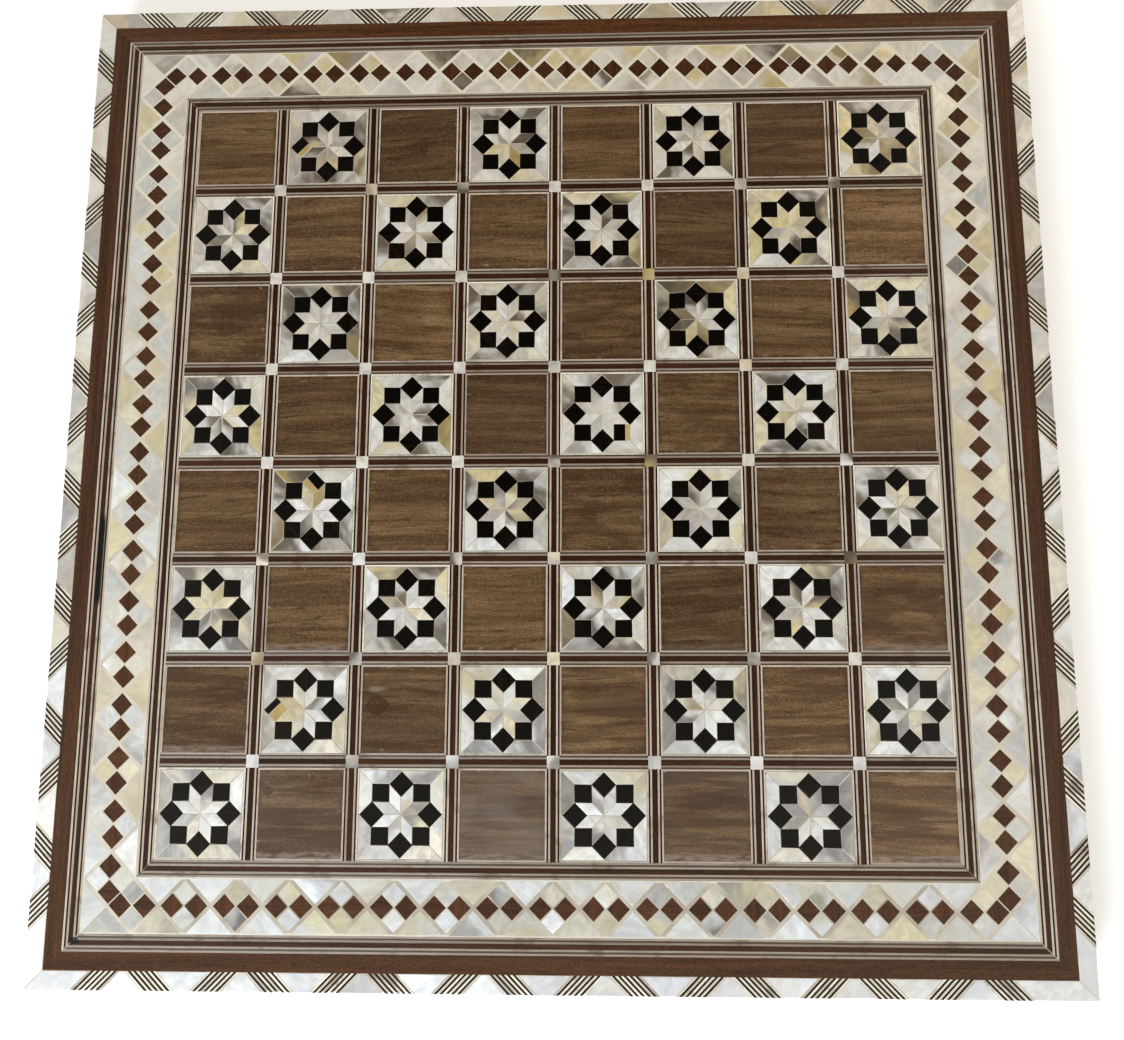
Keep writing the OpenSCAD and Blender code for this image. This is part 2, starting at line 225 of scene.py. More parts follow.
class JointTones(bpy.types.PropertyGroup):
    """Tones of what fills the joints, of the dirt and bloom on the board, and of the felt."""

    paste: colour_property("Paste", "Paste in the border's joints", 200, 190, 174)
    paste_dark: colour_property("Old paste", "Paste where dust has settled", 168, 156, 141)
    paste_pale: colour_property("Pale paste", "Paste of the far side", 231, 223, 206)
    mitre_paste: colour_property("Mitre paste", "Paste in the stringing's mitres", 204, 182, 164)
    inner_mitre: colour_property("Inner mitre", "Paste of the inner stringing", 122, 96, 78)
    dirt: colour_property("Dirt", "Black dirt in the stringing", 6, 5, 5)
    streak: place_property("Streak", "Middle of the long streak of dirt", (-183.2 * MM, -39 * MM))
    spot: place_property("Spot", "Where the spot of dirt lies", (-182.3 * MM, -182.8 * MM))
    glue: colour_property("Glue", "Glue in the narrow joints", 214, 206, 190)
    glue_stain: colour_property("Stained glue", "Stains of the pale glue", 178, 166, 148)
    bed_stain: colour_property("Stained bed", "Stains of the glue bed", 150, 138, 118)
    dark_glue: colour_property("Dark glue", "Glue round the black pieces", 20, 16, 13)
    dark_stain: colour_property("Dark stain", "Stains of the dark glue", 40, 32, 26)
    # Grey of paste smears, and of the painted haze of reflected light on the near rows
    smear_and_haze: colour_property("Bloom", "Grey bloom in the lacquer", 170, 156, 146)
    felt: colour_property("Felt", "Felt on the underside", 36, 62, 44)


class Workmanship(bpy.types.PropertyGroup):
    """Small sizes of the finished surface."""

    outer_round: length_property("Outer edge", "Rounding of the board's outer edges", 0.5 * MM)
    piece_round: length_property("Piece edge", "Rounding of each piece's own edges", 0.05 * MM)
    glue_depth: length_property("Glue depth", "How far the glue lies below the surface", 0.06 * MM)
    glue_sheet: length_property("Glue sheet", "Thickness of the glue between two pieces", 0.03 * MM)
    dark_joint: length_property("Dark joint", "How far the dark glue spreads", 0.25 * MM)
    pitch: length_property("Pitch", "From the middle of one square to the next", 39 * MM)
    band: length_property("Band", "Width of the zigzag band", 7 * MM)
    felt_fuzz: length_property("Felt fuzz", "Unevenness of the felt", 0.12 * MM)
    felt_cells: IntProperty(
        name="Felt cells", description="Cells of the felt on each side", default=160, min=8
    )
    lacquer: FloatProperty(
        name="Lacquer", description="Roughness of the lacquer", default=0.13, min=0, max=1
    )


class StageSettings(bpy.types.PropertyGroup):
    """Camera, floor and lamps."""

    camera_at: place_property(
        "Camera", "Where the camera stands", (25.55 * MM, -61.43 * MM, 450.92 * MM)
    )
    camera_view: direction_property("View", "Where the camera looks", (-0.03407, 0.17221, -0.98447))
    camera_right: direction_property("Right", "The camera's right hand", (0.99939, -0.00104, -0.03477))
    lens: number_property("Lens", "Focal length on a sensor 36 mm wide, in mm", 34.59)
    shift: direction_property("Shift", "Shift of the picture", (-0.0164, -0.0829))
    floor: colour_property("Floor", "Colour of the floor", 226, 226, 226)
    floor_reach: length_property("Floor reach", "Radius of the floor", 30.0)
    key: number_property("Key", "Power of the near lamp in watts", 15.5)
    fill: number_property("Fill", "Power of the far lamp in watts", 11)
    world: number_property("World", "Strength of the light all round", 0.56)
    card: direction_property("Card", "Way to the dark card's middle, above the board", (-0.05, 0.25))
    card_edge: direction_property("Card edge", "Where the card's soft edge begins and ends", (0.17, 0.62))


class ChessboardSettings(bpy.types.PropertyGroup):
    """All the settings of the chessboard."""

    pearl: PointerProperty(type=PearlTones)
    wood: PointerProperty(type=WoodTones)
    joint: PointerProperty(type=JointTones)
    work: PointerProperty(type=Workmanship)
    stage: PointerProperty(type=StageSettings)


class NodeTree:
    """A node tree, put together a node at a time. A value may be a socket or what a socket holds."""

    def __init__(self, tree):
        self.tree = tree
        tree.nodes.clear()

    def put(self, socket, value):
        if isinstance(value, bpy.types.NodeSocket):
            self.tree.links.new(value, socket)
        elif value is not None:
            if socket.type == "RGBA" and len(value) == 3:
                value = (*value, 1)
            socket.default_value = value

    def node(self, kind, *values, **settings):
        """A new node. The values go into its inputs in turn. A setting with a capital goes into the
        input of that name, and any other, which comes first, is an attribute."""
        whole = kind.startswith(("GeometryNode", "NodeGroup"))
        made = self.tree.nodes.new(kind if whole else "ShaderNode" + kind)
        for name, value in settings.items():
            if name[0].isupper():
                self.put(made.inputs[name.replace("_", " ")], value)
            else:
                setattr(made, name, value)
        for socket, value in zip(made.inputs, values):
            self.put(socket, value)
        return made

    def maths(self, operation, value, *others):
        """The operation on one value, or on the first two and then on the result and the next."""
        if not others:
            return self.node("Math", value, operation=operation).outputs[0]
        for other in others:
            value = self.node("Math", value, other, operation=operation).outputs[0]
        return value

    plus = partialmethod(maths, "ADD")
    minus = partialmethod(maths, "SUBTRACT")
    times = partialmethod(maths, "MULTIPLY")
    most = partialmethod(maths, "MAXIMUM")
    size = partialmethod(maths, "ABSOLUTE")

    def vector(self, operation, a, b=None):
        made = self.node("VectorMath", a, b, operation=operation)
        return made.outputs["Value" if operation == "LENGTH" else "Vector"]

    def scaled(self, vector, factor):
        made = self.node("VectorMath", vector, None, None, factor, operation="SCALE")
        return made.outputs["Vector"]

    def parts(self, vector):
        return self.node("SeparateXYZ", vector).outputs[:3]

    def joined(self, x, y, z=0.0):
        return self.node("CombineXYZ", x, y, z).outputs[0]

    def between(self, value, low, high, to_low=0.0, to_high=1.0):
        """A number that goes softly from to_low to to_high while the value goes from low to high."""
        made = self.node("MapRange", value, low, high, to_low, to_high, interpolation_type="SMOOTHSTEP")
        return made.outputs[0]


class Finish(NodeTree):
    """The node tree of one finish. Places are in millimetres."""

    def __init__(self, name, settings):
        self.settings = settings
        self.material = bpy.data.materials.new(name)
        self.material.use_nodes = True
        super().__init__(self.material.node_tree)
        self.place = self.scaled(self.node("TexCoord").outputs["Object"], 1 / MM)
        self.middle = self.scaled(self.attribute(MIDDLE, "Vector"), 1 / MM)
        self.turn = self.attribute(TURN, "Fac")

    def attribute(self, name, output):
        return self.node("Attribute", attribute_type="GEOMETRY", attribute_name=name).outputs[output]

    def mix(self, share, a, b, blend="MIX"):
        made = self.node("Mix", data_type="RGBA", blend_type=blend)
        for index, value in ((0, share), (6, a), (7, b)):
            self.put(made.inputs[index], value)
        return made.outputs[2]

    def veil(self, colour, tint, pattern, low, high, most=1.0):
        """A colour under a tint, which goes from none to most while the pattern goes from low to high."""
        return self.mix(self.between(pattern, low, high, 0.0, most), colour, tint)

    def ramp(self, share, stops):
        made = self.node("ValToRGB", share)
        points = made.color_ramp.elements
        while len(points) < len(stops):
            points.new(0.5)
        for point, (at, name) in zip(points, stops):
            point.position = at
            point.color = (*getattr(self.settings.pearl, name), 1)
        return made.outputs[0]

    def noise(self, place, size, detail=2.0, roughness=0.5, distortion=0.0):
        """Soft noise whose features are size millimetres, a length or one for each axis."""
        stretch = size if isinstance(size, tuple) else (size, size, size)
        stretched = self.vector("DIVIDE", place, stretch)
        made = self.node(
            "TexNoise", stretched, Scale=1.0, Detail=detail, Roughness=roughness, Distortion=distortion
        )
        return made.outputs["Fac"]

    def chances(self, number):
        """Three random numbers for each piece, from where its middle lies."""
        moved = self.vector("ADD", self.middle, DRAW_SHIFT + number * DRAW_STEP)
        cell = self.vector("SNAP", moved, DRAW_CELL)
        return self.parts(self.node("TexWhiteNoise", cell, noise_dimensions="3D").outputs["Color"])

    def along(self, turn=None):
        """Places measured from the piece's middle, with x along its grain."""
        offset = self.vector("SUBTRACT", self.place, self.middle)
        angle = self.turn if turn is None else turn
        made = self.node("VectorRotate", rotation_type="Z_AXIS", invert=True, Vector=offset, Angle=angle)
        return made.outputs[0]

    def lying(self):
        """1 for a piece that lies from left to right, and 0 for one that stands upright or aslant."""
        return self.between(self.size(self.maths("COSINE", self.turn)), 0.8, 0.95)

    def apart(self, place, chance):
        """Moves a pattern away by chance, so that no two pieces show the same stretch of it."""
        return self.vector("ADD", place, self.scaled(self.joined(chance, chance, chance), FAR_APART))

    def offset_from(self, spot):
        return self.vector("SUBTRACT", self.place, (spot[0] / MM, spot[1] / MM, 0.0))

    def oval(self, offset, across, upwards):
        """The length of an offset, with its two directions weighed."""
        return self.vector("LENGTH", self.vector("MULTIPLY", offset, (across, upwards, 0.0)))

    def bump(self, height, distance, normal=None):
        made = self.node("Bump", Strength=1.0, Distance=distance, Height=height, Normal=normal)
        return made.outputs[0]

    def shader(self, colour, roughness, **inputs):
        made = self.node("BsdfPrincipled", Base_Color=colour, Roughness=roughness, **inputs)
        self.node("OutputMaterial", made.outputs[0])
        return self

    def lacquered(self, colour, roughness, gloss=0.0, **inputs):
        """The finish of a piece under the lacquer, which is polished by hand and a little wavy."""
        waves = self.plus(
            self.noise(self.place, 9.0, detail=1.0), self.times(self.noise(self.place, 1.3), 0.12)
        )
        return self.shader(
            colour,
            roughness,
            Coat_Normal=self.bump(waves, 0.02 * MM),
            Coat_Weight=1.0,
            Coat_Roughness=self.settings.work.lacquer,
            Coat_IOR=1.5,
            Specular_IOR_Level=gloss,
            **inputs,
        )

    def dress(self, *names):
        """Gives CAD nodes this finish, with each of their solids' edges eased."""
        work = self.settings.work
        group = piece_places()
        share = next(
            item.identifier
            for item in group.interface.items_tree
            if item.in_out == "INPUT" and item.name == "Share"
        )
        for name in names:
            piece = NODES[name]
            piece.data.materials.clear()
            piece.data.materials.append(self.material)
            places = piece.modifiers.new("Piece places", "NODES")
            places.node_group = group
            places[share] = work.piece_round / work.outer_round
            ease = piece.modifiers.new("Eased edges", "BEVEL")
            ease.width = work.outer_round
            ease.segments = 2
            ease.limit_method = "WEIGHT"
            ease.use_clamp_overlap = True


def shaded(colour, factor):
    return tuple(min(1.0, value * factor) for value in colour)


def drifted(f, colour, near_painted_shade, painted_light_share):
    """Painted light and shade by place: the shell is painted palest along the near side and at the left
    and right, and yellower and darker at the far side; the near border is painted darker by its tint.
    """
    painted_light_tone = f.settings.pearl.painted_light_tone
    at_edge, at_sides = painted_light_share
    aside, far, _ = f.parts(f.middle)
    aside = f.size(aside)
    near = f.between(far, *NEAR_HALF, NEAR_PAINTED_LIGHT, 0.0)
    near = f.plus(near, f.between(far, *NEAR_EDGE, at_edge - NEAR_PAINTED_LIGHT, 0.0))
    colour = f.mix(near, colour, painted_light_tone)
    colour = f.veil(colour, painted_light_tone, aside, *SIDES, at_sides)
    colour = f.mix(f.between(far, *NEAR_BORDER), colour, near_painted_shade, "MULTIPLY")
    colour = f.scaled(colour, f.between(aside, *SIDES, 1.0, SIDE_PAINTED_LIGHT))
    return f.mix(f.between(far, *FAR_HALF), colour, FAR_PAINTED_SHADE, "MULTIPLY")


def leaning(f, chance, slope):
    """A normal that leans to a side picked by chance."""
    angle = f.times(chance, FULL_TURN)
    right = f.times(f.maths("COSINE", angle), slope)
    up = f.times(f.maths("SINE", angle), slope)
    straight = f.node("NewGeometry").outputs["Normal"]
    return f.vector("NORMALIZE", f.vector("ADD", straight, f.joined(right, up)))


def pearl(
    name,
    settings,
    tint=NO_TINT,
    near_painted_shade=NO_TINT,
    reach=3.0,
    dusk=0.0,
    kinship=0.0,
    clouds=1.0,
    gold=0.0,
    motley=0.0,
    painted_light_share=(0.12, 0.2),
):
    """Mother of pearl. Each piece has its own two tones, one at either end, with soft clouds and
    growth lines. Its layers lean their own way, so each piece catches the light differently.
    Tint multiplies all of it, and the near tint paints shade on the near border. Reach is how far
    from its middle a piece turns to either tone. Dusk is how often a piece turns dark at one end.
    Kinship is how often the pieces of one square are cut from the same shell. Clouds is how strong
    the clouds are, and gold how much of the shell's edge shows. Motley is how clearly the pieces at
    the left and right sides are either yellow or cool. The last is how much painted light pales the near
    edge and those sides."""
    tones = settings.pearl
    f = Finish(name, settings)
    pick, other, spin = f.chances(1)
    blend, lean, strength = f.chances(2)
    if kinship:
        pitch = settings.work.pitch / MM
        square = f.vector("SNAP", f.middle, (pitch, pitch, EVERY_HEIGHT))
        shell = f.node("TexWhiteNoise", square, noise_dimensions="3D").outputs["Value"]
        same = f.maths("LESS_THAN", f.chances(3)[0], kinship)
        pick = f.plus(pick, f.times(same, f.minus(shell, pick)))
    laid = f.along(f.times(spin, FULL_TURN))
    moved = f.apart(laid, strength)
    cloud = tones.cloud / MM
    wander = f.noise(moved, (cloud * 1.5, cloud * 3, 5.0), detail=1.0)
    end = f.maths("DIVIDE", f.parts(laid)[0], reach)
    end = f.plus(end, f.between(wander, 0.25, 0.75, -0.6, 0.6))
    share = f.times(f.between(end, -1.0, 1.0), f.between(blend, 0.1, 0.7, 0.15, 1.0))
    colour = f.mix(share, f.ramp(pick, ONE_END), f.ramp(other, OTHER_END))
    if dusk:
        dark = f.maths("GREATER_THAN", strength, 1 - dusk)
        dark = f.times(dark, f.between(end, -1.2, 0.9, 0.1, 0.95))
        colour = f.mix(dark, colour, tones.smoke)
    # Painted light and shade by place
    colour = drifted(f, colour, near_painted_shade, painted_light_share)
    if motley:
        kind = f.chances(4)[1]
        sides = f.between(f.size(f.parts(f.middle)[0]), *SIDE_BORDERS, 0.0, motley)
        colour = f.mix(f.times(sides, f.between(kind, *YELLOW_DRAW)), colour, tones.yellow)
        colour = f.mix(f.times(sides, f.between(kind, *COOL_DRAW)), colour, tones.cool)
    if gold:
        colour = f.mix(gold, colour, tones.gold)
    broad = f.noise(moved, (cloud * 1.1, cloud * 1.9, 5.0), distortion=0.3)
    fine = f.noise(moved, (0.28, cloud * 1.6, 5.0), roughness=0.6)
    clouded = f.times(f.between(broad, 0.3, 0.7, -clouds, clouds), f.between(blend, 0.0, 1.0, 0.16, 0.06))
    bright = f.plus(clouded, f.between(fine, 0.3, 0.7, -0.045, 0.045), 1.0)
    colour = f.vector("MULTIPLY", colour, f.scaled(tint, bright))
    # A breath of blue and pink, as thin layers give
    breath = f.noise(moved, (cloud * 0.8, cloud * 2, 5.0), detail=1.0)
    play = f.mix(f.between(breath, 0.35, 0.65), BLUISH, PINKISH)
    colour = f.mix(1.0, colour, play, "MULTIPLY")
    slope = f.times(f.between(other, 0.0, 1.0, 0.2, 1.0), math.tan(tones.tilt))
    return f.lacquered(
        colour,
        f.between(broad, 0.3, 0.7, 0.3, 0.38),
        gloss=0.5,
        Normal=f.bump(broad, 0.12 * MM, leaning(f, lean, slope)),
        Metallic=0.2,
    )


def grained(f, turn, ground, dark, pale, chance, band, crisp=1.0, bold=1.0, wander=0.0, veins=0.0):
    """Colour and relief of a straight grained wood: bands, fine lines, fibres, flecks and pores.
    Bold is how clearly the bands stand out, crisp the same for streaks and lines, wander is how far
    all of them stray, and veins is the strength of the long dark veins."""
    laid = f.apart(f.along(turn), chance)
    x, y, z = f.parts(laid)
    sway = f.times(f.noise(laid, (38.0, 60.0, 60.0), detail=1.0), 3.5)
    laid = f.joined(x, f.plus(y, sway), z)
    bands = f.noise(laid, (90.0, band, 30.0), distortion=wander)
    streaks = f.noise(laid, (34.0, band * 0.42, 9.0), detail=3.0, roughness=0.6, distortion=wander)
    lines = f.noise(laid, (22.0, band * 0.13, 6.0), roughness=0.65)
    fibres = f.noise(laid, (5.0, 0.2, 1.0), roughness=0.7)
    flecks = f.noise(laid, (0.9, 0.5, 1.0), roughness=0.7)
    pores = f.noise(laid, (1.6, 0.16, 0.6), detail=0.0)
    colour = f.veil(ground, dark, bands, 0.4, 0.64, 0.5 * bold)
    colour = f.veil(colour, pale, bands, 0.46, 0.3, 0.45 * bold)
    colour = f.veil(colour, dark, streaks, 0.48, 0.64, 0.62 * crisp)
    colour = f.veil(colour, pale, streaks, 0.48, 0.34, 0.4 * crisp)
    colour = f.veil(colour, dark, lines, 0.5, 0.68, 0.32 * crisp)
    if veins:
        field = f.noise(laid, (46.0, band * 0.8, 9.0), detail=1.5, roughness=0.45, distortion=0.25)
        vein = f.between(f.size(f.minus(field, 0.5)), 0.045, 0.005)
        seen = f.between(f.noise(laid, (16.0, 2.6, 9.0), detail=1.0), 0.42, 0.62, 0.0, veins)
        colour = f.mix(f.times(vein, seen), colour, dark)
    colour = f.veil(colour, dark, fibres, 0.42, 0.68, 0.35)
    colour = f.veil(colour, pale, flecks, 0.5, 0.3, 0.5)
    colour = f.veil(colour, dark, flecks, 0.5, 0.68, 0.4)
    colour = f.veil(colour, dark, pores, 0.64, 0.74, 0.8)
    return colour, f.plus(fibres, f.between(pores, 0.62, 0.76, 0.0, -2.0))


def knotted(f, colour, centre, radius, depth):
    """A knot, pointed at its right end, with a rim that is darkest at the lower right and a small
    pale smear above it. Depth is how dark its heart is."""
    woods = f.settings.wood
    ragged = f.times(f.noise(f.place, 2.2), 0.9)
    offset = f.offset_from(centre)
    right, up, _ = f.parts(offset)
    pointed = f.plus(f.times(right, 0.8), f.times(f.size(up), 0.76))
    distance = f.plus(f.most(f.oval(offset, 0.84, 1.04), pointed), ragged)
    inside = f.between(distance, radius + 0.5, radius - 0.6)
    mottled = f.between(f.noise(f.place, (2.0, 0.45, 1.0), detail=3.0), 0.3, 0.7, 0.55 * depth, depth)
    colour = f.mix(f.times(inside, mottled), colour, woods.knot_wood)
    low = f.times(inside, f.between(up, 1.0, -0.7 * radius, 0.0, 0.3))
    colour = f.mix(low, colour, woods.walnut_dark)
    rim = f.between(f.size(f.minus(distance, radius)), 0.7, 0.1, 0.0, 0.8)
    below = f.between(f.minus(right, up), -radius, radius, 0.1, 1.0)
    colour = f.mix(f.times(rim, below), colour, shaded(woods.walnut_dark, 0.7))
    above = f.vector("SUBTRACT", offset, (-0.1 * radius, 1.45 * radius, 0.0))
    smeared = f.plus(f.oval(above, 0.32, 1.0), ragged)
    return f.veil(colour, f.settings.joint.smear_and_haze, smeared, 0.5 * radius, 0.1 * radius, 0.38)


def with_painted_haze(f, colour):
    """A grey haze of reflected light painted on the lacquer of the nearest row, strongest half a square
    left of the middle, as painted reflection; and grey along the near rims of the next rows."""
    aside, far, _ = f.parts(f.middle)
    strip = f.times(
        f.between(f.parts(f.along(0.0))[1], *NEAR_RIM),
        f.between(f.noise(f.place, (5.0, 1.2, 2.0)), 0.35, 0.6, 0.1, 0.42),
        f.between(f.chances(3)[2], 0.3, 0.6),
        f.between(far, *GREY_RIM_ROWS),
    )
    from_haze_middle = f.size(f.plus(aside, 0.5 * f.settings.work.pitch / MM))
    # Painted reflection: a grey haze over the nearest row
    haze = f.times(
        f.between(from_haze_middle, 100.0, 10.0, 0.06, 0.26),
        f.between(far, *NEAR_ROW),
        f.between(f.noise(f.place, (24.0, 13.0, 5.0), detail=1.0), 0.35, 0.65, 0.45, 1.0),
    )
    return f.mix(f.most(strip, haze), colour, f.settings.joint.smear_and_haze)


def walnut(settings):
    """The plain squares: walnut with its grain from side to side, two knots, and paste smeared at
    the rims."""
    woods, f = settings.wood, Finish("walnut", settings)
    shade, lean, pick = f.chances(1)
    colour, relief = grained(
        f,
        f.between(lean, 0.0, 1.0, -0.05, 0.05),
        woods.walnut,
        woods.walnut_dark,
        woods.walnut_pale,
        pick,
        band=4.2,
        crisp=0.6,
        bold=1.3,
        wander=0.3,
        veins=0.8,
    )
    aside, far, _ = f.parts(f.middle)
    moved = f.apart(f.place, pick)
    blotch = f.noise(moved, (17.0, 6.0, 10.0), detail=3.0)
    stained = f.times(f.between(blotch, 0.46, 0.6), f.between(f.chances(2)[0], 0.3, 1.0, 0.15, 0.62))
    colour = f.mix(stained, colour, woods.walnut_dark)
    dusky = f.between(f.noise(moved, (44.0, 3.8, 10.0)), 0.5, 0.59, 0.0, 0.75)
    colour = f.mix(f.times(dusky, f.between(far, *NEAR_ROWS)), colour, woods.walnut_dark)
    # Painted light and shade by place: brighter towards the left and right columns and towards the far
    # half, and darker again at the far row. The last factor is each square's own tone, by chance.
    level = f.times(
        f.between(f.size(aside), *COLUMNS, 0.9, 1.08),
        f.between(far, *MIDDLE_ROWS, 1.09, 1.15),
        f.between(far, *FAR_ROW, 1.0, 0.94),
        f.between(shade, 0.0, 1.0, 0.76, 1.22),
    )
    colour = f.scaled(colour, level)
    x, y, _ = f.parts(f.vector("ABSOLUTE", f.along(0.0)))
    reach = f.most(x, y)
    # Darker along the square's edges, in broken patches
    worn = f.times(f.between(reach, *DARK_EDGE_SPAN), f.between(f.noise(f.place, 5.0), 0.4, 0.62, 0.05, 0.7))
    colour = f.mix(worn, colour, woods.walnut_dark)
    for centre, radius, depth in ((woods.knot, 4.1, 1.0), (woods.pin_knot, 2.1, 0.85)):
        colour = knotted(f, colour, centre, radius, depth)
    smear = f.between(f.noise(f.place, (3.4, 2.2, 2.0), detail=3.0), 0.62, 0.78, 0.0, 0.5)
    colour = f.mix(f.times(f.between(reach, *RIM), smear), colour, settings.joint.smear_and_haze)
    roughness = f.between(blotch, 0.3, 0.7, 0.45, 0.6)
    # The near rows get a painted grey haze of reflected light
    return f.lacquered(with_painted_haze(f, colour), roughness, Normal=f.bump(relief, 0.012 * MM))


def brown_wood(name, settings, ground, dark, crisp=0.7, upright=1.0, far_painted_shade=1.0):
    """Red brown wood whose grain follows the length of each piece. Pieces that stand upright in the
    plan may be darker, and those of the far side are painted darker, as painted shade."""
    f = Finish(name, settings)
    pick, shade, _ = f.chances(1)
    colour, relief = grained(f, f.turn, ground, dark, shaded(ground, 1.4), pick, band=2.2, crisp=crisp)
    # The last factor is painted shade, darker towards the far side
    level = f.times(
        f.between(shade, 0.0, 1.0, 0.85, 1.2),
        f.between(f.lying(), 0.0, 1.0, upright, 1.0),
        f.between(f.parts(f.middle)[1], *FAR_SHADE_SPAN, 1.0, far_painted_shade),
    )
    colour = soiled(f, f.scaled(colour, level))
    return f.lacquered(colour, 0.5, Normal=f.bump(relief, 0.012 * MM))


def ebony(name, settings, ground, worn=0.0):
    """Black wood: nearly even, with brown grain in some pieces. Worn is how much paler the plies
    are that lie from left to right."""
    woods, f = settings.wood, Finish(name, settings)
    pick, shade, _ = f.chances(1)
    grain = f.noise(f.apart(f.along(), pick), (9.0, 0.5, 3.0), detail=3.0, roughness=0.6)
    brown = f.times(f.between(grain, 0.45, 0.75), f.between(shade, 0.5, 1.0, 0.1, 0.8))
    colour = f.mix(brown, ground, woods.ebony_grain)
    colour = f.veil(colour, woods.ebony_speck, f.noise(f.place, 0.4), 0.58, 0.7, 0.35)
    if worn:
        colour = f.mix(f.times(f.lying(), worn), colour, woods.ebony_worn)
    roughness = f.between(grain, 0.3, 0.7, 0.3, 0.42)
    return f.lacquered(colour, roughness, Normal=f.bump(grain, 0.008 * MM))


def stained_ply(f, ground, dark):
    """Grain along a pale ply, stains, and a few darker lengths."""
    pick, shade, age = f.chances(1)
    grain = f.noise(f.apart(f.along(), pick), (14.0, 0.3, 2.0), detail=3.0, roughness=0.6)
    stain = f.noise(f.place, 11.0, detail=3.0, roughness=0.6)
    colour = f.veil(ground, dark, grain, 0.42, 0.75, 0.6)
    colour = f.veil(colour, dark, stain, 0.54, 0.7, 0.65)
    colour = f.veil(colour, dark, age, 0.6, 1.0, 0.4)
    return f.scaled(colour, f.between(shade, 0.0, 1.0, 0.86, 1.08))


def pale_ply(name, settings, ground, dark, worn=0.0):
    """Pale plies. Worn is how much of their brightness the plies have lost that lie from left to
    right."""
    f = Finish(name, settings)
    colour = stained_ply(f, ground, dark)
    if worn:
        colour = f.scaled(colour, f.between(f.lying(), 0.0, 1.0, 1.0, 1.0 - worn))
    return f.lacquered(soiled(f, colour), 0.45)


def white_line(settings):
    """The thin frame round each square: whiter round the stars than round the plain squares, darker
    at its near edge, and brighter towards the far side."""
    woods, f = settings.wood, Finish("white_line", settings)
    column, row, _ = f.parts(f.vector("FLOOR", f.scaled(f.middle, MM / settings.work.pitch)))
    plain = f.maths("FLOORED_MODULO", f.plus(column, row), 2.0)
    colour = stained_ply(f, f.mix(plain, woods.line, woods.ply), woods.ply_dark)
    near_edge = f.between(f.parts(f.along(0.0))[1], *NEAR_LINE, 1.0, 0.8)
    level = f.times(near_edge, f.between(f.parts(f.middle)[1], *FAR_LINES, 1.0, 1.18))
    return f.lacquered(f.scaled(colour, level), 0.45)


def filler(name, settings, ground, dark, pale=None, inner=None):
    """Paste or glue: dull, slightly speckled, and stained where dust settled in it. The paste of the
    border is paler at the far side, at its ends and beside the stringing. The paste of the mitres
    is browner in the inner stringing."""
    f = Finish(name, settings)
    speckle = f.noise(f.place, 0.5, detail=3.0, roughness=0.6)
    stain = f.noise(f.place, 14.0, detail=4.0, roughness=0.6)
    colour = f.veil(ground, dark, speckle, 0.4, 0.75, 0.4)
    colour = f.veil(colour, dark, stain, 0.4, 0.62, 0.8)
    x, y, _ = f.parts(f.place)
    aside = f.size(x)
    reach = f.most(aside, f.size(y))
    inner_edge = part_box("inner_string_white")[1].x / MM
    outer_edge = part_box("border_paste")[1].x / MM
    if pale is not None:
        share = f.most(
            f.between(y, *FAR_PASTE),
            f.between(aside, *BORDER_ENDS, 0.0, 0.5),
            f.between(reach, inner_edge + 1.0, inner_edge + 0.5, 0.0, 0.75),
            f.between(reach, outer_edge - 1.0, outer_edge - 0.5, 0.0, 0.75),
        )
        colour = f.mix(share, colour, f.veil(pale, ground, stain, 0.5, 0.66, 0.45))
    if inner is not None:
        colour = f.veil(colour, inner, reach, inner_edge + 1.0, inner_edge)
        colour = soiled(f, colour)
    return f.lacquered(colour, 0.6, Normal=f.bump(speckle, 0.02 * MM))


def soiled(f, colour):
    """Black dirt in the stringing: a long streak at the left side, and a spot in the near left mitre."""
    joints = f.settings.joint
    right, up, _ = f.parts(f.vector("ABSOLUTE", f.offset_from(joints.streak)))
    streak = f.times(f.between(right, 1.5, 1.0), f.between(up, 20.0, 15.0))
    ragged = f.times(f.noise(f.place, 1.4), 1.2)
    spot = f.between(f.plus(f.oval(f.offset_from(joints.spot), 0.8, 1.2), ragged), 2.7, 1.7)
    return f.mix(f.times(f.most(streak, spot), 0.97), colour, joints.dirt)


def bare_wood(settings):
    """The core, which no lacquer reaches."""
    woods, f = settings.wood, Finish("core_wood", settings)
    pick = f.chances(1)[0]
    colour, relief = grained(f, 0.0, woods.core, woods.core_dark, woods.core_pale, pick, band=6.0)
    return f.shader(colour, 0.7, Normal=f.bump(relief, 0.05 * MM), Specular_IOR_Level=0.3)


def felt_cloth(settings):
    """Pressed felt: short fibres that lie every way."""
    f = Finish("felt", settings)
    one = f.noise(f.place, (2.4, 0.16, 1.0), detail=3.0, roughness=0.65, distortion=1.4)
    other = f.noise(f.place, (0.16, 2.1, 1.0), detail=3.0, roughness=0.65, distortion=1.4)
    fibres = f.times(f.plus(one, other), 0.5)
    patch = f.noise(f.place, 28.0, detail=3.0)
    ground = settings.joint.felt
    colour = f.veil(shaded(ground, 0.5), shaded(ground, 1.7), fibres, 0.36, 0.64)
    colour = f.veil(colour, shaded(ground, 1.4), patch, 0.4, 0.7, 0.3)
    return f.shader(
        colour,
        0.95,
        Normal=f.bump(fibres, 0.25 * MM),
        Specular_IOR_Level=0.1,
        Sheen_Weight=0.35,
        Sheen_Roughness=0.6,
    )


